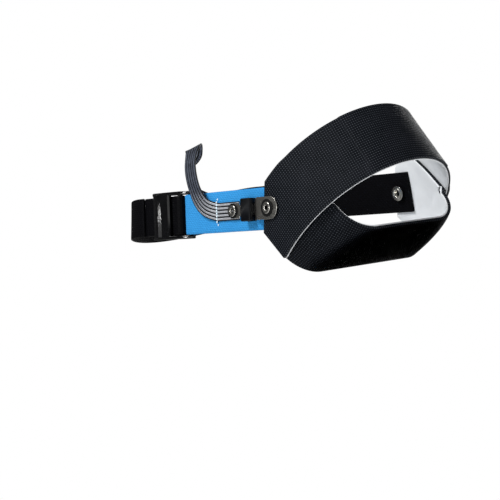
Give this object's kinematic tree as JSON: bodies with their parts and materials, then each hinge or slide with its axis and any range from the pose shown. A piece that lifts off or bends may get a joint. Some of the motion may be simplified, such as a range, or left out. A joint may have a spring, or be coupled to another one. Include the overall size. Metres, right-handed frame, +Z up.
{
  "type": "esd heel grounder",
  "caption": "Heel-cup grounding strap: two rubber strips round a shoe heel, webbing instep loop with ladder-lock buckle, inline resistor and conductive ribbon.",
  "frame": {"origin": "centre of the sole band's underside, on the floor under the heel", "axes": "+Z up, +X towards the back of the heel, -Y the side that carries the resistor and buckle"},
  "size_m": [0.1871, 0.0896, 0.1025],
  "materials": {
    "rubber": "cloth-embossed matt",
    "lining": "smooth matt",
    "webbing_blue": "woven nylon",
    "webbing_black": "woven nylon",
    "buckle": "moulded satin",
    "moulding": "moulded matt",
    "nickel": "nickel plate",
    "fibre": "vulcanised fibre",
    "resistor": "lacquered",
    "lead": "tinned wire",
    "ribbon": "woven nylon and conductive yarn",
    "tie": "paper-thin film",
    "thread": "polyester thread"
  },
  "bodies": {
    "strap": {"far_rivet": "nickel", "far_rivet_back_washer": "nickel", "far_rivet_washer": "nickel", "front_lug": "nickel", "heel_band_lining": "lining", "heel_band_rubber": "rubber", "instep_strap": "webbing_black", "rear_lug": "nickel", "resistor": "resistor", "resistor_housing": "moulding", "resistor_lead_front": "lead", "resistor_lead_rear": "lead", "ribbon": "ribbon", "ribbon_eyelet": "nickel", "ribbon_eyelet_back_washer": "nickel", "ribbon_eyelet_washer": "fibre", "ribbon_roll": "ribbon", "ribbon_stitching": "thread", "roll_tie": "tie", "side_strap": "webbing_blue", "sole_band_lining": "lining", "sole_band_rubber": "rubber", "tab_eyelet": "nickel", "tab_eyelet_back_washer": "nickel", "tab_eyelet_washer": "fibre"},
    "buckle": {"buckle_frame": "buckle", "threaded_strap_end": "webbing_black"}
  },
  "joints": [
    {"name": "buckle_tilt", "type": "hinge", "parent": "strap", "child": "buckle", "pos_m": [-0.07327, -0.03586, 0.06427], "axis": [0.4784, 0.0872, 0.8738], "range_deg": [0, 40]}
  ]
}
